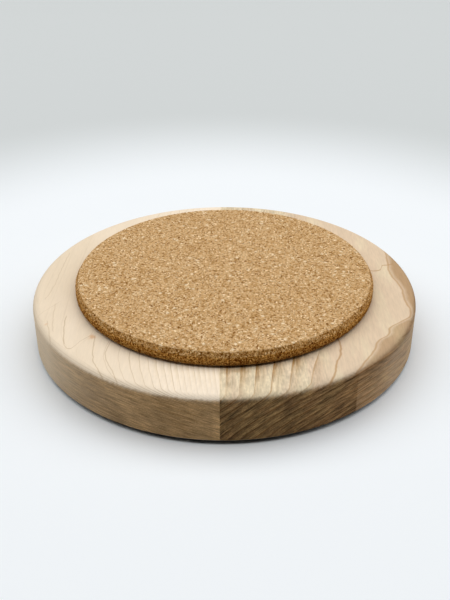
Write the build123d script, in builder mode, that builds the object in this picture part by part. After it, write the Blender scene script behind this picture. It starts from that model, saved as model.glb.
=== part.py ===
from build123d import *
import os

# A round trivet: a cork disc glued on a base that is made of two maple boards and stands on four low rubber pads.
# Sizes are in millimetres. +Z is up, and the origin is the centre of the plane that the pads stand on.
# The boards are glued edge to edge along a line parallel to Y, which is also the way their grain runs.

# The base: the two boards are glued up first, then cut round, rounded over on top and eased underneath
base_diameter = 228.6
base_thickness = 27.0
top_round = 4.0
bottom_ease = 0.6
# The glue line stands this far left of the centre
glue_line_offset = 2.5

# The cork disc: stock with bevelled edges, with a bare rim of wood left all round it
bare_rim_width = 25.4
cork_thickness = 9.2
# Both bevels run in by the same width, and the upper one is the taller, steeper one
bevel_width = 1.9
top_bevel_height = 3.2
bottom_bevel_height = 1.9

# The foot pads: two under each board, set well in from the rim so that only the gap under the base shows
pad_count = 4
pad_diameter = 14.0
pad_height = 2.4
pad_inset = 22.0
pad_ease = 0.5
first_pad_angle = 45.0

base_radius = base_diameter / 2
base_top = pad_height + base_thickness
cork_radius = base_radius - bare_rim_width
glue_plane = Plane.YZ.offset(-glue_line_offset)

os.makedirs("parts", exist_ok=True)

# The two boards: one round disc, of which each board keeps its own side of the glue line
board_sides = {"left_board": Keep.BOTTOM, "right_board": Keep.TOP}

for board_name, own_side in board_sides.items():
    with BuildPart() as board:
        with BuildSketch(Plane.XY.offset(pad_height)):
            Circle(base_radius)
        extrude(amount=base_thickness)
        fillet(board.faces().sort_by(Axis.Z)[-1].edges(), radius=top_round)
        chamfer(board.faces().sort_by(Axis.Z)[0].edges(), length=bottom_ease)
        split(bisect_by=glue_plane, keep=own_side)
    board.part.label = board_name
    export_step(board.part, f"parts/{board_name}.step")

# The cork disc, flat on the boards' top
with BuildPart() as cork_disc:
    with BuildSketch(Plane.XY.offset(base_top)):
        Circle(cork_radius)
    extrude(amount=cork_thickness)
    upper_face = cork_disc.faces().sort_by(Axis.Z)[-1]
    chamfer(upper_face.edges(), length=bevel_width, length2=top_bevel_height, reference=upper_face)
    lower_face = cork_disc.faces().sort_by(Axis.Z)[0]
    chamfer(lower_face.edges(), length=bevel_width, length2=bottom_bevel_height, reference=lower_face)
cork_disc.part.label = "cork_disc"
export_step(cork_disc.part, "parts/cork_disc.step")

# The foot pads, stuck flat to the boards' underside
with BuildPart() as foot_pads:
    with BuildSketch(Plane.XY):
        with PolarLocations(base_radius - pad_inset, pad_count, start_angle=first_pad_angle):
            Circle(pad_diameter / 2)
    extrude(amount=pad_height)
    chamfer(foot_pads.edges().group_by(Axis.Z)[0], length=pad_ease)
foot_pads.part.label = "foot_pads"
export_step(foot_pads.part, "parts/foot_pads.step")
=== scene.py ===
import math
from types import SimpleNamespace

import bpy
from mathutils import Matrix, Vector


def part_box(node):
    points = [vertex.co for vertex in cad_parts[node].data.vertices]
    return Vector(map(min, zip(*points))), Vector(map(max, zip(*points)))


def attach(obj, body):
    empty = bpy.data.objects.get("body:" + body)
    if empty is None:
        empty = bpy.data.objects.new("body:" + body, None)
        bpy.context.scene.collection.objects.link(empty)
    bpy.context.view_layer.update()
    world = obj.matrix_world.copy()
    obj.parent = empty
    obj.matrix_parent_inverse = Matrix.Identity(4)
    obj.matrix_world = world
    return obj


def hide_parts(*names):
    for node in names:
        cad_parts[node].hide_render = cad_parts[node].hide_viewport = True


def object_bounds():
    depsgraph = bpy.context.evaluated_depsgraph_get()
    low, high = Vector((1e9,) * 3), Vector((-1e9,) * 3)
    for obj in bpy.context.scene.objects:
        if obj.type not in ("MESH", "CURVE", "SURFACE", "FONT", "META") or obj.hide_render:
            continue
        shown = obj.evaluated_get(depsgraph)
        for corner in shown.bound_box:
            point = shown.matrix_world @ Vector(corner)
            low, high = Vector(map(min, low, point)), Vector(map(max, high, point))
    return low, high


# Looks of a round trivet: a granular cork disc on a base of two edge-glued maple boards, on four rubber pads
# The file is laid out as an add-on and is run as a script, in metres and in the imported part's frame

bl_info = {
    "name": "Maple and cork trivet",
    "version": (1, 0, 0),
    "blender": (4, 5, 0),
    "location": "View3D > Sidebar > Trivet",
    "description": "Finishes the maple boards and the pads, makes the cork disc and sets a plain stage",
    "category": "Object",
}

MM = 0.001
BODY = "root"

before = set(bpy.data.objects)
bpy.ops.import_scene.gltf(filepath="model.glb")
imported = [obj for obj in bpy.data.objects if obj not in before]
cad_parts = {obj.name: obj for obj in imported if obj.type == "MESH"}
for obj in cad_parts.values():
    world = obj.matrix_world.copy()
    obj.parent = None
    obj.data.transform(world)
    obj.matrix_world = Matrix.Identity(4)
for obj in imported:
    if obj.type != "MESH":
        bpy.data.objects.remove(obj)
cad_low, cad_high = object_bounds()
cork_low, cork_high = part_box("cork_disc")
_, left_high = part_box("left_board")

CORK_RADIUS = (cork_high.x - cork_low.x) / 2
CORK_THICKNESS = cork_high.z - cork_low.z
BASE_TOP = cork_low.z
BASE_RADIUS = (cad_high.x - cad_low.x) / 2
GLUE_LINE = left_high.x

# Kinds of node that are used often. A RANGE takes a value, the start and the end of its range, and what it
# turns these two into, which is 0 and 1 where nothing is given
MATH = "ShaderNodeMath"
VECTOR = "ShaderNodeVectorMath"
RANGE = "ShaderNodeMapRange"
MIX = "ShaderNodeMix"
NOISE = "ShaderNodeTexNoise"
CELLS = "ShaderNodeTexVoronoi"
SPLIT = "ShaderNodeSeparateXYZ"
SPLIT_COLOUR = "ShaderNodeSeparateColor"
JOIN = "ShaderNodeCombineXYZ"
# Settings that are used often: a range that eases in and out, and a mix of colours
SMOOTH = {"interpolation_type": "SMOOTHSTEP"}
COLOURS = {"data_type": "RGBA"}
WHITE = (1, 1, 1)

# Wood features run several times longer along the grain, which lies along Y, than across it
GRAIN_STRETCH = (1, 0.25, 1)
# How far apart the rings are measured to find how steeply they meet the surface
STEP = 0.1 * MM
# Most of a noise lies between these two values
NOISE_SPREAD = (0.3, 0.7)

# How the heart of the cream board's log bends, as (share of the board's length, share of the heart's rise)
HEART_BEND = (
    (0.0, 1.0),
    (0.087, 0.38),
    (0.135, 0.12),
    (0.187, 0.0),
    (0.243, 0.036),
    (0.33, 0.095),
    (0.5, 0.2),
    (1.0, 0.4),
)
# How strongly the growth lines show across each board, as (place across in millimetres, strength)
CREAM_LINE_STRENGTH = ((-114, 0.25), (-68, 0.3), (-54, 0.7), (-34, 0.68), (-18, 0.22), (114, 0.15))
BROWN_LINE_STRENGTH = ((-114, 0.2), (9, 0.25), (16, 0.85), (48, 0.75), (54, 0.0), (114, 0.0))
# The line that the brown board's darker band begins at, as (along the grain, across it) in millimetres
EDGE_LINE = (
    (-100, 62),
    (-78.5, 76.3),
    (-70.7, 80.7),
    (-63.5, 83.5),
    (-56.5, 90.3),
    (-51, 91.7),
    (-44, 99),
    (-36.7, 106),
    (-20, 105.6),
    (-5, 106),
    (10.4, 102.7),
    (40, 104),
    (100, 98),
)
# Lines of the figure that no growth ring gives. Each runs along the grain or across it, shows with its own
# strength and goes through a few points, as (the way it runs, to the side) in millimetres
CREAM_LINES = (
    (
        "across",
        0.55,
        ((-87.2, -63), (-85.2, -68.9), (-82.8, -70.1), (-80.8, -67.5), (-78.4, -63), (-74.6, -58.3)),
    ),
    ("along", 0.55, ((-65, -86.9), (-56.5, -88.3), (-49.7, -89.2), (-38, -90))),
    ("along", 0.5, ((-100, -60), (-88, -66), (-82.6, -68.5), (-77, -69.8), (-70, -70.5), (-58, -70.8))),
    ("along", 0.45, ((-100, -54.5), (-91, -57.8), (-80, -62.3), (-73, -63.3), (-62, -61.2))),
    ("along", 0.35, ((-64, -94.7), (-58.6, -95.6), (-52.4, -97.2), (-43, -99.8))),
    ("along", 0.3, ((-52, -95), (-37, -97.6), (-24, -98.1))),
    ("across", 0.3, ((-106, -36), (-101.8, -29), (-97, -22))),
    ("along", 0.3, ((-17, -105), (-2, -102.8), (23, -101.5), (40, -100))),
)
BROWN_LINES = (
    ("along", 0.75, ((-110, 49), (-103, 52), (-97, 55.3), (-92, 57), (-83, 58.7), (-78, 61), (-60, 62))),
    ("across", 0.65, ((90, 16.5), (95.3, 15.6), (97.9, 18.2), (98.8, 22), (102.5, 22.8), (105, 24))),
    ("along", 0.62, EDGE_LINE),
)
# Small marks, each with its strength, its place, its width and its length in millimetres
CREAM_MARKS = (
    (0.75, (-72.6, -58.3), 5.6, 9.0),
    (0.4, (-99.9, -45.7), 3.0, 4.0),
)
BROWN_MARKS = (
    (0.55, (9.0, -89.5), 13.0, 12.0),
    (0.4, (0.5, -91.0), 7.0, 9.0),
)


def linear(hex_code):
    """An sRGB hex colour as linear red, green and blue."""
    values = [int(hex_code[at:at + 2], 16) / 255 for at in (1, 3, 5)]
    return tuple(v / 12.92 if v <= 0.04045 else ((v + 0.055) / 1.055) ** 2.4 for v in values)


def colour_setting(name, description, hex_code):
    """A colour that the panel shows."""
    return bpy.props.FloatVectorProperty(
        name=name, description=description, subtype="COLOR", min=0, max=1, default=linear(hex_code)
    )


def length_setting(name, description, millimetres):
    """A length that the panel shows."""
    return bpy.props.FloatProperty(
        name=name, description=description, unit="LENGTH", default=millimetres * MM
    )


def share_setting(name, description, share):
    """A share from 0 to 1 that the panel shows."""
    return bpy.props.FloatProperty(
        name=name, description=description, subtype="FACTOR", min=0, max=1, default=share
    )


def angle_setting(name, description, degrees):
    """An angle that the panel shows."""
    return bpy.props.FloatProperty(
        name=name, description=description, subtype="ANGLE", default=math.radians(degrees)
    )


def lean_setting(name, description, slopes):
    """Two slopes, across and up, that the panel shows."""
    return bpy.props.FloatVectorProperty(name=name, description=description, size=2, default=slopes)


def add_node(tree, kind, inputs=(), operation=None, stops=(), points=(), **settings):
    """Adds a node with its inputs by place or by name, and with what else it has.

    That is its operation, a ramp's stops, a curve's points and other settings. An input is a value, a socket
    or a node, which stands for its first output. Sockets that the settings put out of use aren't counted.
    """
    node = tree.nodes.new(kind)
    if operation:
        node.operation = operation
    for name, value in settings.items():
        setattr(node, name, value)
    in_use = [socket for socket in node.inputs if socket.enabled]
    pairs = inputs.items() if isinstance(inputs, dict) else enumerate(inputs)
    for key, value in pairs:
        socket = in_use[key] if isinstance(key, int) else node.inputs[key]
        if isinstance(value, bpy.types.Node):
            value = next(output for output in value.outputs if output.enabled)
        if isinstance(value, bpy.types.NodeSocket):
            tree.links.new(value, socket)
        elif socket.type == "RGBA":
            socket.default_value = (*value, 1.0)
        else:
            socket.default_value = value
    for at, (position, colour) in enumerate(stops):
        elements = node.color_ramp.elements
        element = elements[at] if at < 2 else elements.new(position)
        element.position = position
        element.color = (*colour, 1.0)
    for at, place in enumerate(points):
        curve = node.mapping.curves[0].points
        if at < 2:
            curve[at].location = place
        else:
            curve.new(*place)
    if points:
        node.mapping.update()
    return node


# Settings of both boards: kind, name, label, description, and the values of the cream and the brown board
BOARD_SETTINGS = (
    (colour_setting, "pale", "Pale wood", "Colour of the wood by the glue line", "#F9E9D3", "#E8D7B7"),
    (colour_setting, "warm", "Warm wood", "Colour of the wood by the outer edge", "#E9D7BD", "#E0C9AD"),
    (colour_setting, "line", "Growth line", "Colour of the strongest growth line", "#B79B72", "#B58B5C"),
    (colour_setting, "heart", "Heartwood", "Colour of the streaks of heartwood", "#EBD8BA", "#A98250"),
    (colour_setting, "end_tint", "End grain", "Multiplies the colour on end grain", "#B9A281", "#978266"),
    # Underside is painted shade: a near-black colour on the downward faces for the deep shade in the gap
    # under the base
    (colour_setting, "underside", "Underside", "Colour of the dark coat underneath", "#2C241C", "#2C241C"),
    (share_setting, "rim_start", "Rim start", "Tilt of the edge where the rim's look begins", 0.7, 0.5),
    (share_setting, "end_full", "End grain full", "How square a cut shows end grain alone", 1.0, 0.8),
    # Side grain is partly the darker look of the sawn edge and partly painted shade that darkens the rim's
    # sides below the top
    (share_setting, "side_share", "Side grain", "How much the rim's side looks like end grain", 0.28, 0.7),
    (length_setting, "pale_until", "Pale until", "Where the pale wood begins to warm, across", -15, 20),
    (length_setting, "warm_from", "Warm from", "Where the wood is warm, across the board", -100, 70),
    (length_setting, "heart_start", "Heartwood start", "Where the streaks are strongest, across", -25, 40),
    (length_setting, "heart_end", "Heartwood end", "Where the streaks have faded out, across", -60, 60),
    (length_setting, "ring_spacing", "Ring spacing", "Thickness of one year's growth", 0.72, 4.2),
    (length_setting, "ring_wander", "Ring wander", "How far a ring strays from a true circle", 0.1, 0.35),
    (length_setting, "line_width", "Line width", "Width of a growth line on the surface", 0.5, 0.8),
    (length_setting, "patch_size", "Patch size", "Width of the patches of paler and warmer wood", 26, 9),
    (share_setting, "patch_share", "Patch share", "How much the patches change the warmth", 0.3, 0.8),
    (share_setting, "fibre_depth", "Fibre depth", "How much darker the darkest fibres are", 0.03, 0.07),
    (share_setting, "heart_fibre_depth", "Heart fibre depth", "The same among the streaks", 0.05, 0.2),
    (share_setting, "mottle_depth", "Mottle depth", "How much darker the darkest flecks are", 0.04, 0.14),
    (share_setting, "ring_depth", "Ring depth", "How much darker a year ends on the end grain", 0.12, 0.35),
    (length_setting, "stroke_width", "Stroke width", "Width of the strokes on the end grain", 0.65, 0.9),
    (share_setting, "stroke_depth", "Stroke depth", "How much darker those strokes are", 0.45, 0.75),
    (length_setting, "pith_x", "Pith across", "Where the heart of the log lay, across", -76, 77.4),
    (length_setting, "pith_depth", "Pith depth", "How far under the top it lay", 259.92, 138.35),
    (length_setting, "pith_rise", "Pith rise", "How far it rises at its highest end", 2, 0),
    (lean_setting, "pith_lean", "Pith lean", "Its slope across and up", (0.1, 0.0), (-0.147, -0.13)),
)


def board_settings(column):
    """The settings of one board, with its own column of the values."""
    settings = {}
    for kind, name, label, description, *values in BOARD_SETTINGS:
        settings[name] = kind(label, description, values[column])
    return settings


class TrivetCreamBoard(bpy.types.PropertyGroup):
    """The cream, flat-sawn board on the left."""

    __annotations__ = board_settings(0)
    pin: colour_setting("Pin knot", "Colour of the small mark where a twig began", "#DDB184")


class TrivetBrownBoard(bpy.types.PropertyGroup):
    """The pinker, browner board on the right."""

    __annotations__ = board_settings(1)
    edge: colour_setting("Edge wood", "Multiplies the colour outside the edge line", "#D2C1AB")


class TrivetCork(bpy.types.PropertyGroup):
    """The cork disc."""

    bevel_width: length_setting("Bevel width", "How far both bevels run in from the cork's rim", 1.9)
    upper_bevel: length_setting("Upper bevel", "Height of the upper bevel", 3.2)
    lower_bevel: length_setting("Lower bevel", "Height of the lower bevel", 1.9)
    granule: length_setting("Granule", "Size of a cork granule", 0.9)
    crevice_depth: length_setting("Crevice depth", "Depth of the crevices between granules", 0.15)
    pit_depth: length_setting("Pit depth", "Depth of the pits where a granule has torn out", 0.4)
    pit_share: share_setting("Pit share", "Share of the granules that have torn out", 0.05)
    flake: colour_setting("Flake", "Colour of the larger pale flakes", "#FFE8C2")
    flake_size: length_setting("Flake size", "Distance between places where a flake may lie", 3.2)
    flake_share: share_setting("Flake share", "Share of those places that have a flake", 0.05)
    side_tint: colour_setting("Side", "Multiplies the colour on the cut side", "#E1C78F")
    seed: bpy.props.FloatProperty(name="Seed", description="Picks another lay of the granules", default=3.0)


class TrivetPads(bpy.types.PropertyGroup):
    """The foot pads."""

    rubber: colour_setting("Rubber", "Colour of the rubber", "#2A2928")
    dusty: colour_setting("Dusty rubber", "Colour of the rubber where dust has settled on it", "#3B3937")
    dust: length_setting("Dust", "Size of the dusty patches", 3)
    grain: length_setting("Grain", "Size of the fine grain that the mould leaves", 0.5)


class TrivetStage(bpy.types.PropertyGroup):
    """The floor, the light and the camera."""

    floor: colour_setting("Floor", "Colour of the floor near the trivet", "#F1F5F8")
    # The far floor colour is painted shade: the card greys far out, where less light falls
    shaded_far_floor: colour_setting("Far floor", "Colour of the floor far from the trivet", "#CDD1D1")
    near_until: length_setting("Near until", "How far out the floor keeps its near colour", 220)
    far_from: length_setting("Far from", "How far out it has its far colour", 420)
    backdrop: colour_setting("Backdrop", "Colour of the room behind the floor", "#CDD1D1")
    room_light: colour_setting("Room light", "Colour of the faint light from all round", "#303030")
    camera_distance: length_setting("Camera distance", "From the centre of the base's underside", 532.96)
    camera_height: angle_setting("Camera height", "Angle of the camera above the floor", 32.34)
    camera_tilt: angle_setting("Camera tilt", "How far the camera looks above the base's centre", 1.65)
    camera_pan: angle_setting("Camera pan", "How far the camera looks to the right of the centre", 0.04)
    camera_roll: angle_setting("Camera roll", "Lean of the camera", -0.17)
    focal_length: bpy.props.FloatProperty(
        name="Focal length",
        description="Focal length of the lens in millimetres, on a frame whose long side is 36 mm",
        default=51.26,
    )


def new_material(name):
    """A material with an empty node tree."""
    material = bpy.data.materials.new(name)
    material.use_nodes = True
    material.node_tree.nodes.clear()
    return material


def finish_surface(tree, colour, relief, finish, relief_depth, relief_strength):
    """Ends a material with its colour, a fine relief and the rest of its finish, by socket name."""
    bump_inputs = {"Strength": relief_strength, "Distance": relief_depth, "Height": relief}
    bump = add_node(tree, "ShaderNodeBump", bump_inputs)
    shader = add_node(tree, "ShaderNodeBsdfPrincipled", {"Base Color": colour, "Normal": bump, **finish})
    add_node(tree, "ShaderNodeOutputMaterial", (shader,))


def blotches(tree, point, size, least, most, detail=2.0, spread=NOISE_SPREAD):
    """A value that changes softly from place to place, in blotches of about one size.

    The spread is the stretch of the noise over which the value goes from its least to its most.
    """
    noise = add_node(tree, NOISE, {"Vector": point, "Scale": 1 / size, "Detail": detail})
    return add_node(tree, RANGE, (noise, *spread, least, most))


def base_share(millimetres):
    """How far across the base a place is, from 0 at one side to 1 at the other."""
    return (millimetres * MM + BASE_RADIUS) / (2 * BASE_RADIUS)


def read_curve(tree, place, points):
    """Reads off a curve, whose points count from one side of the base to the other, at a place there."""
    share = add_node(tree, RANGE, (place, -BASE_RADIUS, BASE_RADIUS))
    return add_node(tree, "ShaderNodeFloatCurve", {"Value": share}, points=points)


def length_along(tree, vector, axes):
    """How long a vector is along some of its axes, which are given as 1 each, and the others as 0."""
    flat = add_node(tree, VECTOR, (vector, axes), "MULTIPLY")
    return add_node(tree, VECTOR, (flat,), "LENGTH")


def wood_spot(tree, board):
    """Where a point of a board is, which way its surface faces and how much end grain shows there."""
    tear_size, tear_depth, tear_growth = 1.6 * MM, 0.13, 1.4
    rim_full, end_start = 1.02, 0.25
    # How far the surface faces down, where shade is painted on the underside
    under_start, under_full = -0.8, -0.95
    place = add_node(tree, "ShaderNodeTexCoord").outputs
    point, facing = place["Object"], place["Normal"]
    across, along, height = add_node(tree, SPLIT, (point,)).outputs
    _, faces_along, faces_up = add_node(tree, SPLIT, (facing,)).outputs
    tilt = length_along(tree, facing, (1, 1, 0))
    cut = add_node(tree, MATH, (faces_along,), "ABSOLUTE")
    cut = add_node(tree, MATH, (cut, tilt), "DIVIDE")

    # The look of the rim begins on the round edge, along a torn line
    torn = blotches(tree, point, tear_size, -tear_depth, tear_depth, spread=(0.0, 1.0))
    upwards = add_node(tree, MATH, (faces_up, tear_growth), "MULTIPLY", use_clamp=True)
    torn_tilt = add_node(tree, MATH, (torn, upwards, tilt), "MULTIPLY_ADD")
    on_rim = add_node(tree, RANGE, (torn_tilt, board.rim_start, rim_full), **SMOOTH)
    end = add_node(tree, RANGE, (cut, end_start, board.end_full), **SMOOTH)
    # The rim's sides take some of the end grain's tint, partly as painted shade
    end = add_node(tree, MATH, (end, board.side_share), "MAXIMUM")
    return SimpleNamespace(
        point=point,
        facing=facing,
        across=across,
        along=along,
        height=height,
        end=add_node(tree, MATH, (end, on_rim), "MULTIPLY"),
        under=add_node(tree, RANGE, (faces_up, under_start, under_full)),
        stretched=add_node(tree, VECTOR, (point, GRAIN_STRETCH), "MULTIPLY"),
    )


def growth_rings(name, board):
    """A node group that measures how far a point in the board lies from the heart of its log.

    The heart is a line under the board that leans and bends a little. The rings round it wander, more slowly
    along the grain than across it.
    """
    wander_size = 26 * MM
    tree = bpy.data.node_groups.new(name, "ShaderNodeTree")
    tree.interface.new_socket("Point", in_out="INPUT", socket_type="NodeSocketVector")
    tree.interface.new_socket("Radius", in_out="OUTPUT", socket_type="NodeSocketFloat")
    point = add_node(tree, "NodeGroupInput").outputs["Point"]
    stretched = add_node(tree, VECTOR, (point, GRAIN_STRETCH), "MULTIPLY")
    wander = add_node(tree, NOISE, {"Vector": stretched, "Scale": 1 / wander_size, "Detail": 2.0})
    centred = add_node(tree, VECTOR, (wander.outputs["Color"], (0.5, 0.5, 0.5)), "SUBTRACT")
    # Noise seldom goes past a quarter either way
    stray = add_node(tree, VECTOR, (centred, 4 * board.ring_wander), "SCALE")
    strayed = add_node(tree, VECTOR, (point, stray), "ADD")

    along = add_node(tree, SPLIT, (point,)).outputs["Y"]
    bend = read_curve(tree, along, HEART_BEND)
    rise = add_node(tree, MATH, (bend, board.pith_rise), "MULTIPLY")
    bent = add_node(tree, JOIN, {"Z": rise})
    lean = (board.pith_lean[0], 0, board.pith_lean[1])
    leaning = add_node(tree, VECTOR, (lean, along), "SCALE")
    heart = (board.pith_x, 0, BASE_TOP - board.pith_depth)
    straight_line = add_node(tree, VECTOR, (leaning, heart), "ADD")
    heart_line = add_node(tree, VECTOR, (straight_line, bent), "ADD")
    from_heart = add_node(tree, VECTOR, (strayed, heart_line), "SUBTRACT")
    radius = length_along(tree, from_heart, (1, 0, 1))
    add_node(tree, "NodeGroupOutput", (radius,))
    return tree


def measure_rings(tree, spot, board):
    """The radius of the ring that a point lies on, and how steeply the rings meet the surface there."""
    rings = growth_rings("growth rings", board)
    radius = add_node(tree, "ShaderNodeGroup", {"Point": spot.point}, node_tree=rings)
    changes = []
    for side in ((STEP, 0, 0), (0, STEP, 0), (0, 0, STEP)):
        beside = add_node(tree, VECTOR, (spot.point, side), "ADD")
        radius_beside = add_node(tree, "ShaderNodeGroup", {"Point": beside}, node_tree=rings)
        changes.append(add_node(tree, MATH, (radius_beside, radius), "SUBTRACT"))
    change = add_node(tree, JOIN, changes)
    through = add_node(tree, VECTOR, (change, spot.facing), "PROJECT")
    on_surface = add_node(tree, VECTOR, (change, through), "SUBTRACT")
    step_change = add_node(tree, VECTOR, (on_surface,), "LENGTH")
    slope = add_node(tree, MATH, (step_change, STEP), "DIVIDE")
    return radius, slope


def growth_lines(tree, spot, board, line_strength, radius, slope):
    """How far a year's growth has come, how strongly that year shows, and an even line where it ends."""
    fade_size, weakest_stretch, weakest_year = 15 * MM, 0.55, 0.5
    years = add_node(tree, MATH, (radius, board.ring_spacing), "DIVIDE")
    season = add_node(tree, MATH, (years,), "FRACT")
    left_of_year = add_node(tree, MATH, (1.0, season), "SUBTRACT")
    surface_year = add_node(tree, MATH, (board.ring_spacing, slope), "DIVIDE")
    sides = []
    for part_of_year, width in ((left_of_year, board.line_width), (season, board.line_width / 2)):
        gap = add_node(tree, MATH, (part_of_year, surface_year), "MULTIPLY")
        sides.append(add_node(tree, RANGE, (gap, 0.0, width, 1.0, 0.0), **SMOOTH))
    line = add_node(tree, MATH, sides, "MAXIMUM")

    nearest_end = add_node(tree, MATH, (years,), "ROUND")
    chance = add_node(tree, "ShaderNodeTexWhiteNoise", (nearest_end,), noise_dimensions="1D")
    year_strength = add_node(tree, RANGE, (chance, 0.0, 1.0, weakest_year, 1.0))
    fade = blotches(
        tree, spot.stretched, fade_size, weakest_stretch, 1.0, detail=1.0, spread=(0.35, 0.65)
    )
    strength = add_node(tree, MATH, (year_strength, fade), "MULTIPLY")
    places = [(base_share(across), shown) for across, shown in line_strength]
    by_place = read_curve(tree, spot.across, places)
    shown = add_node(tree, MATH, (by_place, spot.end), "MAXIMUM")
    for factor in (strength, shown):
        line = add_node(tree, MATH, (line, factor), "MULTIPLY")
    return season, strength, line


def ring_strokes(tree, spot, radius, width):
    """Long, thin blotches that follow the rings, as sap stain does."""
    stroke_length = 22 * MM
    across_rings = add_node(tree, MATH, (radius, width), "DIVIDE")
    along_grain = add_node(tree, MATH, (spot.along, stroke_length), "DIVIDE")
    along_rings = add_node(tree, MATH, (spot.across, stroke_length / 3), "DIVIDE")
    path = add_node(tree, JOIN, (across_rings, along_grain, along_rings))
    return add_node(tree, NOISE, {"Vector": path, "Scale": 1.0, "Detail": 4.0, "Roughness": 0.7})


def maple_grain(tree, spot, board, line_strength):
    """What both boards share: wood that warms towards the edge, growth lines, heartwood streaks and fibres.

    The rings are solid, so a line on the top runs on over the round edge and across the end grain.
    """
    radius, slope = measure_rings(tree, spot, board)
    season, strength, line = growth_lines(tree, spot, board, line_strength, radius, slope)
    strokes = ring_strokes(tree, spot, radius, board.stroke_width)

    patchiness = board.patch_share
    uneven = blotches(tree, spot.stretched, board.patch_size, -patchiness, patchiness, detail=3.0)
    sideways = add_node(tree, RANGE, (spot.across, board.pale_until, board.warm_from))
    warmth = add_node(tree, MATH, (sideways, uneven), "ADD", use_clamp=True)
    wood = add_node(tree, MIX, (warmth, board.pale, board.warm), **COLOURS)

    # Heartwood deepens towards the end of a year, in strokes, most of all towards the middle of the base
    outer_edge, outer_share = BASE_RADIUS - 8 * MM, 0.25
    late_start, streak_spread = 0.1, (0.3, 0.58)
    least_streak, most_streak = 0.1, 1.1
    heart_zone = add_node(tree, RANGE, (spot.across, board.heart_start, board.heart_end, 1.0, 0.0), **SMOOTH)
    reach = length_along(tree, spot.point, (1, 1, 0))
    inner = add_node(tree, RANGE, (reach, CORK_RADIUS, outer_edge, 1.0, outer_share))
    late = add_node(tree, RANGE, (season, late_start, 1.0), **SMOOTH)
    streak = add_node(tree, RANGE, (strokes, *streak_spread, least_streak, most_streak))
    for factor in (late, inner):
        streak = add_node(tree, MATH, (streak, factor), "MULTIPLY")
    streak = add_node(tree, MATH, (streak, heart_zone), "MULTIPLY", use_clamp=True)
    hearted = add_node(tree, MIX, (streak, wood, board.heart), **COLOURS)
    lined = add_node(tree, MIX, (line, hearted, board.line), **COLOURS)

    # Fibres are finer in real maple: about 1 mm is as fine as shows in a render
    fibre_size = (0.9 * MM, 7 * MM, 0.9 * MM)
    darkest_fibre, lightest_fibre = -1.0, 0.7
    fibre_point = add_node(tree, VECTOR, (spot.point, fibre_size), "DIVIDE")
    fibres = add_node(tree, NOISE, {"Vector": fibre_point, "Scale": 1.0, "Detail": 3.0})
    fibre_depth = add_node(tree, RANGE, (heart_zone, 0.0, 1.0, board.fibre_depth, board.heart_fibre_depth))
    fibre_side = add_node(tree, RANGE, (fibres, *NOISE_SPREAD, darkest_fibre, lightest_fibre))
    fine_shade = add_node(tree, MATH, (fibre_side, fibre_depth, 1.0), "MULTIPLY_ADD")

    # Flecks lie among the heartwood streaks
    fleck_size = (2 * MM, 3 * MM, 2 * MM)
    fleck_point = add_node(tree, VECTOR, (spot.point, fleck_size), "DIVIDE")
    flecks = add_node(tree, NOISE, {"Vector": fleck_point, "Scale": 1.0, "Detail": 3.0, "Roughness": 0.65})
    darkest_fleck, lightest_fleck = -board.mottle_depth, board.mottle_depth / 2
    fleck_side = add_node(tree, RANGE, (flecks, *NOISE_SPREAD, darkest_fleck, lightest_fleck))
    fleck_shade = add_node(tree, MATH, (fleck_side, heart_zone, 1.0), "MULTIPLY_ADD")
    fine_shade = add_node(tree, MATH, (fine_shade, fleck_shade), "MULTIPLY")
    long_grain = add_node(tree, VECTOR, (lined, fine_shade), "SCALE")

    # On the end grain the ends of the years and the strokes are dark, and the cut fibres are speckled
    speckle_size, speckle_shades = 0.6 * MM, (0.88, 1.12)
    cloud_size, cloud_shades = 14 * MM, (0.85, 1.15)
    stroke_spread = (0.34, 0.66)
    early_shade, late_shade = 1.0 + board.ring_depth / 3, 1.0 - board.ring_depth
    least_stroke, most_stroke = 1.0 - board.stroke_depth, 1.0 + board.stroke_depth
    lateness = add_node(tree, MATH, (late, strength), "MULTIPLY")
    end_shade = add_node(tree, RANGE, (lateness, 0.0, 1.0, early_shade, late_shade))
    other_shades = (
        add_node(tree, RANGE, (strokes, *stroke_spread, least_stroke, most_stroke)),
        blotches(tree, spot.point, speckle_size, *speckle_shades, detail=1.0),
        blotches(tree, spot.point, cloud_size, *cloud_shades),
    )
    for shade in other_shades:
        end_shade = add_node(tree, MATH, (end_shade, shade), "MULTIPLY")
    return SimpleNamespace(long_grain=long_grain, end_shade=end_shade, fibres=fibres)


def beside_line(tree, spot, way, points):
    """How far a point is the way that a drawn line runs, and how far it lies to the line's side."""
    wiggle_size, wiggle_depth = 5 * MM, 0.7 * MM
    run, side = (spot.along, spot.across) if way == "along" else (spot.across, spot.along)
    places = [(base_share(onward), base_share(aside)) for onward, aside in points]
    bend = read_curve(tree, run, places)
    line = add_node(tree, RANGE, (bend, 0.0, 1.0, -BASE_RADIUS, BASE_RADIUS))
    wiggle = blotches(
        tree, spot.point, wiggle_size, -wiggle_depth, wiggle_depth, detail=1.0, spread=(0.0, 1.0)
    )
    strayed = add_node(tree, MATH, (side, wiggle), "ADD")
    return run, add_node(tree, MATH, (strayed, line), "SUBTRACT")


def fade_past(tree, shown, limits):
    """Lets what is shown fade out past each of a few limits, which are given as ranges."""
    for limit in limits:
        kept = add_node(tree, RANGE, limit)
        shown = add_node(tree, MATH, (shown, kept), "MULTIPLY")
    return shown


def draw_on_top(tree, spot, colour, line_colour, width, way, strength, points):
    """Draws a thin line on the board's top, which fades at both ends and is lost over the round edge."""
    end_fade = 2 * MM
    lost_under, whole_over = BASE_TOP - 4 * MM, BASE_TOP - 1 * MM
    first, last = points[0][0] * MM, points[-1][0] * MM
    run, offset = beside_line(tree, spot, way, points)
    gap = add_node(tree, MATH, (offset,), "ABSOLUTE")
    share = add_node(tree, RANGE, (gap, 0.0, width, strength, 0.0), **SMOOTH)
    limits = (
        (run, first - end_fade, first),
        (run, last + end_fade, last),
        (spot.height, lost_under, whole_over),
    )
    return add_node(tree, MIX, (fade_past(tree, share, limits), colour, line_colour), **COLOURS)


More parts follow.
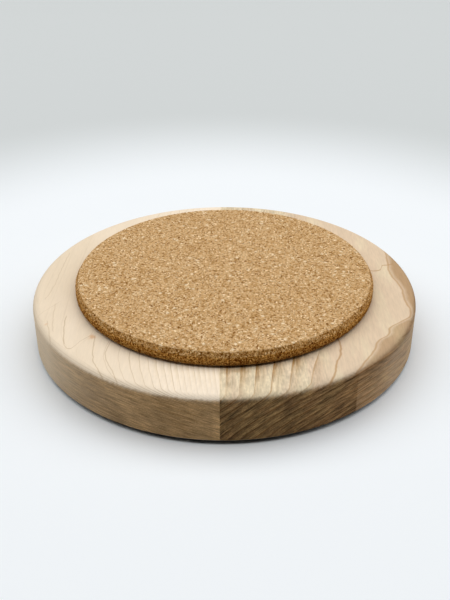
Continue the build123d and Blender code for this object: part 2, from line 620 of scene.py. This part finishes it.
def mark_top(tree, spot, colour, mark_colour, strength, place, width, length):
    """Marks the board's top with a soft, ragged round of another colour."""
    ragged_size, ragged_depth = 3 * MM, 0.35
    middle = (place[0] * MM, place[1] * MM, BASE_TOP)
    half_size = (width / 2 * MM, length / 2 * MM, width / 2 * MM)
    from_middle = add_node(tree, VECTOR, (spot.point, middle), "SUBTRACT")
    sized = add_node(tree, VECTOR, (from_middle, half_size), "DIVIDE")
    out = add_node(tree, VECTOR, (sized,), "LENGTH")
    ragged = blotches(tree, spot.point, ragged_size, -ragged_depth, ragged_depth)
    ragged_out = add_node(tree, MATH, (out, ragged), "ADD")
    share = add_node(tree, RANGE, (ragged_out, 0.0, 1.0, strength, 0.0), **SMOOTH)
    return add_node(tree, MIX, (share, colour, mark_colour), **COLOURS)


def finish_maple(tree, spot, board, grain, long_grain, end, end_shade):
    """Turns long grain into end grain where the fibres are cut, paints shade on the underside and adds the
    sheen.
    """
    shaded_tint = add_node(tree, VECTOR, (tuple(board.end_tint), end_shade), "SCALE")
    tint = add_node(tree, MIX, (end, WHITE, shaded_tint), **COLOURS)
    bare = add_node(tree, VECTOR, (long_grain, tint), "MULTIPLY")
    # The underside is painted dark, as shade under the base
    colour = add_node(tree, MIX, (spot.under, bare, board.underside), **COLOURS)
    oiled = {"Roughness": 0.6, "IOR": 1.5, "Specular IOR Level": 0.02}
    finish_surface(tree, colour, grain.fibres, oiled, relief_depth=0.05 * MM, relief_strength=0.15)


def cream_maple(board):
    """Flat-sawn hard maple, sanded and lightly oiled.

    It is cream and close-grained, with hair-thin growth lines that bow and meet in a point, and a pin knot.
    """
    material = new_material("maple, cream flat-sawn, oiled")
    tree = material.node_tree
    spot = wood_spot(tree, board)
    grain = maple_grain(tree, spot, board, CREAM_LINE_STRENGTH)
    colour = grain.long_grain
    for way, strength, points in CREAM_LINES:
        colour = draw_on_top(tree, spot, colour, board.line, board.line_width, way, strength, points)
    for strength, place, width, length in CREAM_MARKS:
        colour = mark_top(tree, spot, colour, board.pin, strength, place, width, length)

    # The last few millimetres of end grain by the glue line are lighter
    light_start, light_full, lightness = GLUE_LINE - 4.5 * MM, GLUE_LINE - 3 * MM, 1.2
    by_joint = add_node(tree, RANGE, (spot.across, light_start, light_full, 1.0, lightness))
    end_shade = add_node(tree, MATH, (grain.end_shade, by_joint), "MULTIPLY")
    finish_maple(tree, spot, board, grain, colour, spot.end, end_shade)
    return material


def edge_band(tree, spot):
    """How much of the darker band outside the edge line shows: less at the front, and none on the rim."""
    band_start, band_full = -0.5 * MM, 3 * MM
    front_until, side_from = -50 * MM, -28 * MM
    front_share, side_share = 0.8, 0.95
    lost_under, whole_over = BASE_TOP - 6 * MM, BASE_TOP - 2 * MM
    _, from_edge_line = beside_line(tree, spot, "along", EDGE_LINE)
    shown = add_node(tree, RANGE, (from_edge_line, band_start, band_full))
    limits = (
        (spot.along, front_until, side_from, front_share, side_share),
        (spot.height, lost_under, whole_over),
    )
    return fade_past(tree, shown, limits)


def pale_patch(tree, spot):
    """How much of the patch of lighter end grain shows: it begins sharply and is weaker high up."""
    start, end = 69.5 * MM, 96 * MM
    start_height, end_height = 14 * MM, 12 * MM
    softness, sharpness, high_share = 5 * MM, 0.4 * MM, 0.4
    top = add_node(tree, RANGE, (spot.across, start, end, start_height, end_height))
    above = add_node(tree, MATH, (spot.height, top), "SUBTRACT")
    below = add_node(tree, RANGE, (above, -softness, softness, 1.0, high_share))
    beyond = add_node(tree, RANGE, (spot.across, start - sharpness, start + sharpness))
    return add_node(tree, MATH, (below, beyond), "MULTIPLY")


def brown_maple(board):
    """Hard maple from near the heart, sanded and lightly oiled.

    It is pinkish, with blotchy brown streaks by the glue line and a darker band outside an orange line.
    """
    material = new_material("maple, brown-streaked, oiled")
    tree = material.node_tree
    spot = wood_spot(tree, board)
    grain = maple_grain(tree, spot, board, BROWN_LINE_STRENGTH)
    edge_tint = add_node(tree, MIX, (edge_band(tree, spot), WHITE, board.edge), **COLOURS)
    colour = add_node(tree, VECTOR, (grain.long_grain, edge_tint), "MULTIPLY")
    drawn_width = 1.3 * board.line_width
    for way, strength, points in BROWN_LINES:
        colour = draw_on_top(tree, spot, colour, board.line, drawn_width, way, strength, points)
    for strength, place, width, length in BROWN_MARKS:
        colour = mark_top(tree, spot, colour, board.heart, strength, place, width, length)

    # The patch shows less end grain, with less of a pattern, and is lighter
    end_kept, smoothness, lightness = 0.88, 0.3, 1.55
    in_patch = pale_patch(tree, spot)
    kept = add_node(tree, RANGE, (in_patch, 0.0, 1.0, 1.0, end_kept))
    end = add_node(tree, MATH, (spot.end, kept), "MULTIPLY")
    smoothed = add_node(tree, MATH, (in_patch, smoothness), "MULTIPLY")
    end_shade = add_node(tree, MIX, (smoothed, grain.end_shade, 1.0))
    lighter = add_node(tree, RANGE, (in_patch, 0.0, 1.0, 1.0, lightness))
    end_shade = add_node(tree, MATH, (end_shade, lighter), "MULTIPLY")
    finish_maple(tree, spot, board, grain, colour, end, end_shade)
    return material


def moulded_rubber(pads):
    """Black rubber, moulded: matt and nearly even, with a fine grain from the mould and a little dust."""
    material = new_material("rubber, moulded, matt")
    tree = material.node_tree
    point = add_node(tree, "ShaderNodeTexCoord").outputs["Object"]
    settled = blotches(tree, point, pads.dust, 0.0, 1.0, detail=3.0, spread=(0.4, 0.7))
    colour = add_node(tree, MIX, (settled, pads.rubber, pads.dusty), **COLOURS)
    grain = add_node(tree, NOISE, {"Vector": point, "Scale": 1 / pads.grain, "Detail": 2.0})
    matt = {"Roughness": 0.75, "IOR": 1.52}
    finish_surface(tree, colour, grain, matt, relief_depth=0.1 * MM, relief_strength=0.4)
    return material


def cork_granules(tree, point, fineness, seed):
    """Divides the cork into granules with ragged outlines.

    It gives the place of a point measured in granules, the same made ragged, three chances that are each
    granule's own, and how far the point is from the granule's border.
    """
    ragged_fineness, ragged_depth = 1.1, (0.7, 0.7, 0.7)
    sized = add_node(tree, VECTOR, (point, fineness), "SCALE")
    noise = add_node(tree, NOISE, {"Vector": sized, "Scale": ragged_fineness, "Detail": 2.0})
    ragged = add_node(tree, VECTOR, (noise.outputs["Color"], ragged_depth, sized), "MULTIPLY_ADD")
    inputs = {"Vector": ragged, "W": seed, "Scale": 1.0}
    cells = add_node(tree, CELLS, inputs, voronoi_dimensions="4D")
    borders = add_node(tree, CELLS, inputs, voronoi_dimensions="4D", feature="DISTANCE_TO_EDGE")
    return SimpleNamespace(sized=sized, ragged=ragged, chances=cells.outputs["Color"], borders=borders)


def granulated_cork(cork):
    """Agglomerated cork, sanded: pressed granules of bark in many browns, with dark crevices between."""
    material = new_material("cork, agglomerated, sanded")
    tree = material.node_tree
    # Crumbs, and the cells of the cut side, to a granule, and the width of a crevice in granules
    crumb_fineness, side_fineness, crevice_width = 2.4, 1.6, 0.16
    crevice_shade, crumb_shades = 0.72, (0.82, 1.14)
    side_start, side_full = 0.95, 0.25
    place = add_node(tree, "ShaderNodeTexCoord").outputs
    granules = cork_granules(tree, place["Object"], 1 / cork.granule, cork.seed)
    chance = add_node(tree, SPLIT_COLOUR, (granules.chances,)).outputs["Red"]
    granule_colour = add_node(
        tree,
        "ShaderNodeValToRGB",
        (chance,),
        stops=(
            (0.0, linear("#80521F")),
            (1.0, linear("#FFE4BA")),
            (0.08, linear("#AB8049")),
            (0.3, linear("#CCA26C")),
            (0.65, linear("#DAB280")),
            (0.92, linear("#E8C698")),
        ),
    )
    crevice = add_node(tree, RANGE, (granules.borders, 0.0, crevice_width, crevice_shade, 1.0), **SMOOTH)
    crumbs = add_node(tree, NOISE, {"Vector": granules.sized, "Scale": crumb_fineness, "Detail": 2.0})
    crumb_shade = add_node(tree, RANGE, (crumbs, *NOISE_SPREAD, *crumb_shades))
    shade = add_node(tree, MATH, (crevice, crumb_shade), "MULTIPLY")
    faces_up = add_node(tree, SPLIT, (place["Normal"],)).outputs["Z"]
    flatness = add_node(tree, MATH, (faces_up,), "ABSOLUTE")
    side = add_node(tree, RANGE, (flatness, side_start, side_full), **SMOOTH)

    # A few larger flakes of pale bark lie flat in the sanded faces
    flake_core, flake_edge, flake_strength = 0.15, 0.4, 0.8
    flake_inputs = {"Vector": granules.ragged, "Scale": cork.granule / cork.flake_size}
    flakes = add_node(tree, CELLS, flake_inputs, voronoi_dimensions="2D")
    flake_chance = add_node(tree, SPLIT_COLOUR, (flakes.outputs["Color"],)).outputs["Blue"]
    flake = add_node(tree, MATH, (flake_chance, cork.flake_share), "LESS_THAN")
    in_flake = add_node(tree, RANGE, (flakes, flake_core, flake_edge, flake_strength, 0.0))
    on_face = add_node(tree, MATH, (1.0, side), "SUBTRACT")
    for factor in (in_flake, on_face):
        flake = add_node(tree, MATH, (flake, factor), "MULTIPLY")
    flaked = add_node(tree, MIX, (flake, granule_colour, cork.flake), **COLOURS)
    shaded = add_node(tree, VECTOR, (flaked, shade), "SCALE")

    # The side is a rough cut through the granules, which looks darker and redder than the sanded top
    tint = add_node(tree, MIX, (side, WHITE, cork.side_tint), **COLOURS)
    tinted = add_node(tree, VECTOR, (shaded, tint), "MULTIPLY")
    fine_inputs = {"Vector": granules.ragged, "W": cork.seed, "Scale": side_fineness}
    fine_cells = add_node(tree, CELLS, fine_inputs, voronoi_dimensions="4D").outputs["Color"]
    fine_chance = add_node(tree, SPLIT_COLOUR, (fine_cells,)).outputs["Green"]
    darkest_crumb, lightest_crumb = -0.95, 1.0
    crumb = add_node(tree, RANGE, (fine_chance, 0.0, 1.0, darkest_crumb, lightest_crumb))
    crumb = add_node(tree, MATH, (crumb, side), "MULTIPLY")
    # Light crumbs are paler and dark ones redder
    crumb_hue = (0.8, 1.0, 1.3)
    crumb_tint = add_node(tree, VECTOR, (crumb_hue, crumb), "SCALE")
    crumb_tint = add_node(tree, VECTOR, (crumb_tint, WHITE), "ADD")
    rough = add_node(tree, VECTOR, (tinted, crumb_tint), "MULTIPLY")

    # Painted shade: the side is darker towards its foot, where it meets the board
    foot_height, darkest_shade = 5 * MM, 0.4
    height = add_node(tree, SPLIT, (place["Object"],)).outputs["Z"]
    painted_foot_shade = add_node(tree, RANGE, (height, BASE_TOP, BASE_TOP + foot_height, darkest_shade, 1.0))
    colour = add_node(tree, VECTOR, (rough, painted_foot_shade), "SCALE")
    matt = {"Roughness": 0.85, "IOR": 1.4, "Specular IOR Level": 0.05}
    finish_surface(tree, colour, crumbs, matt, relief_depth=0.1 * MM, relief_strength=0.4)
    return material


def cork_tree(material, sizes):
    """Geometry nodes for the cork: a square grid wrapped round its section and roughened into granules."""
    tree = bpy.data.node_groups.new("cork disc", "GeometryNodeTree")
    for size in sizes:
        tree.interface.new_socket(size, in_out="INPUT", socket_type="NodeSocketFloat")
    tree.interface.new_socket("Geometry", in_out="OUTPUT", socket_type="NodeSocketGeometry")
    size = add_node(tree, "NodeGroupInput").outputs

    # Rings of the grid, counted from the middle of the top to the middle of the underside
    top_rings, upper_rings, wall_rings, lower_rings = 136, 6, 7, 4
    seam_gap = 0.01 * MM
    upper_start = top_rings
    wall_start = upper_start + upper_rings
    lower_start = wall_start + wall_rings
    under_start = lower_start + lower_rings
    last_ring = under_start + 1
    width, count = 2.0 * last_ring, 2 * last_ring + 1
    grid_inputs = {"Size X": width, "Size Y": width, "Vertices X": count, "Vertices Y": count}
    grid = add_node(tree, "GeometryNodeMeshGrid", grid_inputs)
    spot = add_node(tree, "GeometryNodeInputPosition")
    reach = add_node(tree, VECTOR, (spot,), "ABSOLUTE")
    reach_x, reach_y, _ = add_node(tree, SPLIT, (reach,)).outputs
    ring = add_node(tree, MATH, (reach_x, reach_y), "MAXIMUM")

    # Square rings turned into evenly spaced round ones
    on_square = add_node(tree, VECTOR, (spot, ring), "DIVIDE")
    quarter = add_node(tree, VECTOR, (on_square, math.pi / 4), "SCALE")
    evened = add_node(tree, VECTOR, (quarter,), "TANGENT")
    outward = add_node(tree, VECTOR, (evened,), "NORMALIZE")

    # The section, from the middle of the top out, down the bevels and the wall, and back in underneath
    flat_radius = add_node(tree, MATH, (size["Radius"], size["Bevel Width"]), "SUBTRACT")
    bevels = add_node(tree, MATH, (size["Upper Bevel"], size["Lower Bevel"]), "ADD")
    wall = add_node(tree, MATH, (size["Thickness"], bevels), "SUBTRACT")
    runs = (
        (0, upper_start, flat_radius, None),
        (upper_start, wall_start, size["Bevel Width"], size["Upper Bevel"]),
        (wall_start, lower_start, None, wall),
        (lower_start, under_start, size["Bevel Width"], size["Lower Bevel"]),
        (under_start, last_ring, flat_radius, None),
    )
    distance = 0.0
    height = add_node(tree, MATH, (size["Foot"], size["Thickness"]), "ADD")
    for start, end, run_out, drop in runs:
        turn = "SUBTRACT" if start >= lower_start else "ADD"
        if run_out is not None:
            step = add_node(tree, RANGE, (ring, start, end, 0.0, run_out))
            distance = add_node(tree, MATH, (distance, step), turn)
        if drop is not None:
            step = add_node(tree, RANGE, (ring, start, end, 0.0, drop))
            height = add_node(tree, MATH, (height, step), "SUBTRACT")
    out_to = add_node(tree, VECTOR, (outward, distance), "SCALE")
    up_to = add_node(tree, JOIN, {"Z": height})
    on_section = add_node(tree, VECTOR, (out_to, up_to), "ADD")
    wrapped = add_node(tree, "GeometryNodeSetPosition", {"Geometry": grid, "Position": on_section})
    seam_inputs = {"Geometry": wrapped, "Distance": seam_gap}
    closed = add_node(tree, "GeometryNodeMergeByDistance", seam_inputs)

    # Granules: sunken crevices between them, each at its own height, some torn out
    most_uneven, crevice_width = 0.1 * MM, 0.22
    here = add_node(tree, "GeometryNodeInputPosition")
    fineness = add_node(tree, MATH, (1.0, size["Granule"]), "DIVIDE")
    granules = cork_granules(tree, here, fineness, size["Seed"])
    level, tear, _ = add_node(tree, SPLIT, (granules.chances,)).outputs
    crevice_range = (granules.borders, 0.0, crevice_width, size["Crevice Depth"], 0.0)
    crevice = add_node(tree, RANGE, crevice_range, **SMOOTH)
    torn = add_node(tree, MATH, (tear, size["Pit Share"]), "LESS_THAN")
    pit = add_node(tree, MATH, (torn, size["Pit Depth"]), "MULTIPLY")
    sunken = add_node(tree, MATH, (crevice, pit), "MAXIMUM")
    depth = add_node(tree, MATH, (level, most_uneven, sunken), "MULTIPLY_ADD")
    inwards = add_node(tree, MATH, (depth, -1.0), "MULTIPLY")
    normal = add_node(tree, "GeometryNodeInputNormal")
    offset = add_node(tree, VECTOR, (normal, inwards), "SCALE")
    rough = add_node(tree, "GeometryNodeSetPosition", {"Geometry": closed, "Offset": offset})
    smooth = add_node(tree, "GeometryNodeSetShadeSmooth", {"Geometry": rough, "Shade Smooth": True})
    real = add_node(tree, "GeometryNodeRealizeInstances", {"Geometry": smooth})
    finished = add_node(tree, "GeometryNodeSetMaterial", {"Geometry": real, "Material": material})
    add_node(tree, "NodeGroupOutput", {"Geometry": finished})
    return tree


def plain_mesh(name, tree, values):
    """Runs a node tree with its inputs set by name, and keeps the result as a plain mesh object."""
    carrier = bpy.data.objects.new("carrier", bpy.data.meshes.new("carrier"))
    bpy.context.scene.collection.objects.link(carrier)
    modifier = carrier.modifiers.new("nodes", "NODES")
    modifier.node_group = tree
    for item in tree.interface.items_tree:
        if item.in_out == "INPUT":
            modifier[item.identifier] = values[item.name]
    depsgraph = bpy.context.evaluated_depsgraph_get()
    mesh = bpy.data.meshes.new_from_object(carrier.evaluated_get(depsgraph))
    mesh.name = name
    bpy.data.objects.remove(carrier)
    piece = bpy.data.objects.new(name, mesh)
    bpy.context.scene.collection.objects.link(piece)
    return piece


class TRIVET_OT_finish_boards(bpy.types.Operator):
    """Gives each board its own maple."""

    bl_idname = "trivet.finish_boards"
    bl_label = "Finish the boards"

    def execute(self, context):
        scene = context.scene
        finishes = {
            "left_board": cream_maple(scene.trivet_cream_board),
            "right_board": brown_maple(scene.trivet_brown_board),
        }
        for node, material in finishes.items():
            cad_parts[node].material_slots[0].material = material
        return {"FINISHED"}


class TRIVET_OT_finish_pads(bpy.types.Operator):
    """Gives the foot pads their rubber."""

    bl_idname = "trivet.finish_pads"
    bl_label = "Finish the foot pads"

    def execute(self, context):
        material = moulded_rubber(context.scene.trivet_pads)
        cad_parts["foot_pads"].material_slots[0].material = material
        return {"FINISHED"}


class TRIVET_OT_make_cork(bpy.types.Operator):
    """Makes the granular cork disc."""

    bl_idname = "trivet.make_cork"
    bl_label = "Make the cork disc"

    def execute(self, context):
        cork = context.scene.trivet_cork
        sizes = {
            "Radius": CORK_RADIUS,
            "Thickness": CORK_THICKNESS,
            "Foot": BASE_TOP,
            "Bevel Width": cork.bevel_width,
            "Upper Bevel": cork.upper_bevel,
            "Lower Bevel": cork.lower_bevel,
            "Granule": cork.granule,
            "Crevice Depth": cork.crevice_depth,
            "Pit Depth": cork.pit_depth,
            "Pit Share": cork.pit_share,
            "Seed": cork.seed,
        }
        disc = plain_mesh("granular_cork_disc", cork_tree(granulated_cork(cork), sizes), sizes)
        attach(disc, BODY)
        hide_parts("cork_disc")
        return {"FINISHED"}


def floor_material(stage):
    """Matt pale card, with painted shade that greys it far from the trivet."""
    material = new_material("pale card, matt")
    tree = material.node_tree
    point = add_node(tree, "ShaderNodeTexCoord").outputs["Object"]
    away = add_node(tree, VECTOR, (point,), "LENGTH")
    # Painted shade: the floor turns grey far from the trivet
    far = add_node(tree, RANGE, (away, stage.near_until, stage.far_from), **SMOOTH)
    pale = add_node(tree, MIX, (far, stage.floor, stage.shaded_far_floor), **COLOURS)
    shader = add_node(tree, "ShaderNodeBsdfDiffuse", {"Color": pale})
    add_node(tree, "ShaderNodeOutputMaterial", (shader,))
    return material


def round_floor(stage):
    """A round card just under the pads."""
    radius, sides, drop = 1.5, 128, 0.05 * MM
    turns = [2 * math.pi * side / sides for side in range(sides)]
    edge = [(radius * math.cos(turn), radius * math.sin(turn), -drop) for turn in turns]
    mesh = bpy.data.meshes.new("floor")
    mesh.from_pydata(edge, [], [range(sides)])
    mesh.materials.append(floor_material(stage))
    floor = bpy.data.objects.new("floor", mesh)
    bpy.context.scene.collection.objects.link(floor)
    return floor


def soft_room(stage):
    """A room that lights the trivet faintly and shows as a pale backdrop behind it."""
    world = bpy.data.worlds.new("soft room")
    world.use_nodes = True
    tree = world.node_tree
    tree.nodes.clear()
    rays = add_node(tree, "ShaderNodeLightPath").outputs
    seen = rays["Is Camera Ray"]
    for kind in ("Is Glossy Ray", "Is Transmission Ray"):
        seen = add_node(tree, MATH, (seen, rays[kind]), "MAXIMUM")
    colour = add_node(tree, MIX, (seen, stage.room_light, stage.backdrop), **COLOURS)
    room = add_node(tree, "ShaderNodeBackground", {"Color": colour})
    add_node(tree, "ShaderNodeOutputWorld", (room,))
    return world


def bright_ceiling():
    """A wide, even ceiling of light, with its middle to the right of the trivet and a little behind it."""
    middle, width, length = (1.6, 0.75, 3.0), 15.0, 3.8
    # What a white card right under it would show
    radiance = 2.0
    data = bpy.data.lights.new("bright ceiling", "AREA")
    data.shape = "RECTANGLE"
    data.size = width
    data.size_y = length
    data.energy = radiance * math.pi * width * length
    lamp = bpy.data.objects.new("bright ceiling", data)
    lamp.location = middle
    bpy.context.scene.collection.objects.link(lamp)


def front_camera(stage):
    """A camera that looks at the trivet from the front and above."""
    data = bpy.data.cameras.new("camera")
    data.lens = stage.focal_length
    data.sensor_width = 36.0
    data.clip_start = 0.01
    camera = bpy.data.objects.new("camera", data)
    lean = stage.camera_height
    aim = Matrix.Rotation(math.pi / 2 - lean, 4, "X")
    pan = Matrix.Rotation(-stage.camera_pan, 4, "Y")
    tilt = Matrix.Rotation(stage.camera_tilt, 4, "X")
    roll = Matrix.Rotation(stage.camera_roll, 4, "Z")
    stand = Vector((0, -math.cos(lean), math.sin(lean))) * stage.camera_distance
    camera.matrix_world = Matrix.Translation(stand) @ aim @ pan @ tilt @ roll
    bpy.context.scene.collection.objects.link(camera)
    return camera


class TRIVET_OT_set_stage(bpy.types.Operator):
    """Sets the floor, the soft light and the camera."""

    bl_idname = "trivet.set_stage"
    bl_label = "Set the stage"

    def execute(self, context):
        scene = context.scene
        stage = scene.trivet_stage
        scene.view_settings.view_transform = "Standard"
        floor = round_floor(stage)
        scene.world = soft_room(stage)
        bright_ceiling()
        scene.camera = front_camera(stage)
        return {"FINISHED"}


class TRIVET_PT_panel(bpy.types.Panel):
    """The trivet's pieces and settings."""

    bl_idname = "TRIVET_PT_panel"
    bl_label = "Trivet"
    bl_space_type = "VIEW_3D"
    bl_region_type = "UI"
    bl_category = "Trivet"

    def draw(self, context):
        for operator, group in STEPS:
            self.layout.operator(operator.bl_idname)
            for settings in group:
                owner = getattr(context.scene, settings)
                for name in owner.bl_rna.properties.keys():
                    if name not in ("rna_type", "name"):
                        self.layout.prop(owner, name)


GROUPS = {
    "trivet_cream_board": TrivetCreamBoard,
    "trivet_brown_board": TrivetBrownBoard,
    "trivet_cork": TrivetCork,
    "trivet_pads": TrivetPads,
    "trivet_stage": TrivetStage,
}
STEPS = (
    (TRIVET_OT_finish_boards, ("trivet_cream_board", "trivet_brown_board")),
    (TRIVET_OT_make_cork, ("trivet_cork",)),
    (TRIVET_OT_finish_pads, ("trivet_pads",)),
    (TRIVET_OT_set_stage, ("trivet_stage",)),
)
CLASSES = (*GROUPS.values(), *(operator for operator, _ in STEPS), TRIVET_PT_panel)


def register():
    for cls in CLASSES:
        bpy.utils.register_class(cls)
    for name, group in GROUPS.items():
        setattr(bpy.types.Scene, name, bpy.props.PointerProperty(type=group))


def unregister():
    for name in GROUPS:
        delattr(bpy.types.Scene, name)
    for cls in reversed(CLASSES):
        bpy.utils.unregister_class(cls)


def main():
    register()
    bpy.ops.trivet.finish_boards()
    bpy.ops.trivet.make_cork()
    bpy.ops.trivet.finish_pads()
    bpy.ops.trivet.set_stage()


if __name__ == "__main__":
    main()
